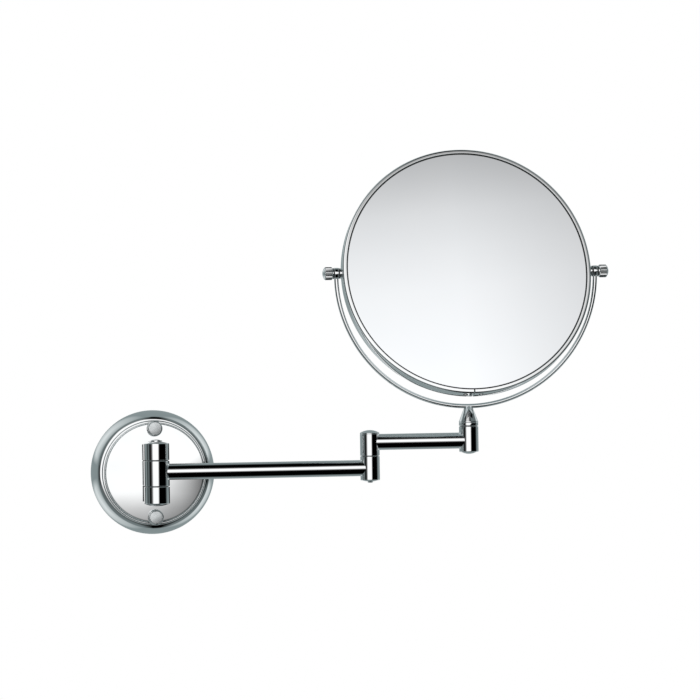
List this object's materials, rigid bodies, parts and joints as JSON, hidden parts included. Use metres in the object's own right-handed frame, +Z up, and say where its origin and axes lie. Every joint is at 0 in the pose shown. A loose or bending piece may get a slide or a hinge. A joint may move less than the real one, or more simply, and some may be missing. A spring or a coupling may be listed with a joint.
{
  "type": "extendable shaving mirror",
  "caption": "Round two-sided shaving mirror in a tilting yoke, on two swinging tube arms from a round wall plate, all in bright chrome.",
  "frame": {"origin": "centre of the wall plate's flat back face, on the wall", "axes": "+Y into the wall, +X along the arms as they lie in line beside the wall plate, +Z up along the hinge posts"},
  "size_m": [0.4254, 0.0997, 0.3119],
  "materials": {
    "chrome": "bright polished plate",
    "zinc_steel": "zinc plated",
    "steel": "bright stainless",
    "nylon": "natural nylon",
    "rubber": "matt closed-cell rubber",
    "foam": "foam sheet",
    "black_plastic": "moulded",
    "plain_mirror": "silvered float glass",
    "magnifying_mirror": "silvered dished glass"
  },
  "bodies": {
    "wall_base": {"wall_plate": "chrome", "plate_seal": "rubber", "backing_plate": "zinc_steel", "screw_sleeves": "zinc_steel", "wall_screws": "steel", "cup_washers": "chrome", "screw_caps": "chrome", "wall_bracket": "chrome", "bracket_screws": "steel", "wall_pin": "chrome", "wall_spring_washer": "steel", "wall_pin_nut": "steel", "wall_post_plug": "chrome", "wall_friction_washers": "nylon"},
    "arm_1": {"wall_hub": "chrome", "hub_bush": "nylon", "arm_1_tube": "chrome", "elbow_lower_barrel": "chrome", "elbow_pin": "steel", "elbow_friction_washer": "nylon", "elbow_spring_washer": "steel", "elbow_nut": "steel", "elbow_bottom_cap": "chrome"},
    "arm_2": {"elbow_upper_barrel": "chrome", "elbow_bush": "nylon", "elbow_top_cap": "chrome", "arm_2_tube": "chrome", "stem_barrel": "chrome", "stem_bush": "nylon", "stem_bottom_cap": "chrome"},
    "yoke": {"stem_cone": "chrome", "stem_ring": "chrome", "stem_spring_washer": "steel", "stem_thrust_washer": "steel", "stem_screw": "steel", "yoke_rod": "chrome"},
    "mirror_head": {"mirror_hoop": "chrome", "hoop_lock_plate": "zinc_steel", "hoop_lock_screws": "steel", "front_mirror": "plain_mirror", "backing_sheet": "foam", "glass_spacer": "black_plastic", "rear_mirror": "magnifying_mirror", "pivot_sockets": "zinc_steel", "pivot_spacers": "chrome", "inner_washers": "nylon", "outer_washers": "nylon"},
    "knob_left": {"knob_left": "chrome", "pivot_screw_left": "steel"},
    "knob_right": {"knob_right": "chrome", "pivot_screw_right": "steel"}
  },
  "joints": [
    {"name": "wall_swivel", "type": "hinge", "parent": "wall_base", "child": "arm_1", "pos_m": [0, -0.04, 0], "axis": [0, 0, -1], "range_deg": [0, 180]},
    {"name": "elbow_swivel", "type": "hinge", "parent": "arm_1", "child": "arm_2", "pos_m": [0.174, -0.04, 0.0012], "axis": [0, 0, 1], "continuous": true},
    {"name": "stem_swivel", "type": "hinge", "parent": "arm_2", "child": "yoke", "pos_m": [0.256, -0.04, 0.0222], "axis": [0, 0, 1], "continuous": true},
    {"name": "mirror_tilt", "type": "hinge", "parent": "yoke", "child": "mirror_head", "pos_m": [0.256, -0.04, 0.1597], "axis": [1, 0, 0], "continuous": true},
    {"name": "knob_left_turn", "type": "hinge", "parent": "mirror_head", "child": "knob_left", "pos_m": [0.256, -0.04, 0.1597], "axis": [-1, 0, 0], "range_deg": [0, 360]},
    {"name": "knob_right_turn", "type": "hinge", "parent": "mirror_head", "child": "knob_right", "pos_m": [0.256, -0.04, 0.1597], "axis": [1, 0, 0], "range_deg": [0, 360]}
  ]
}
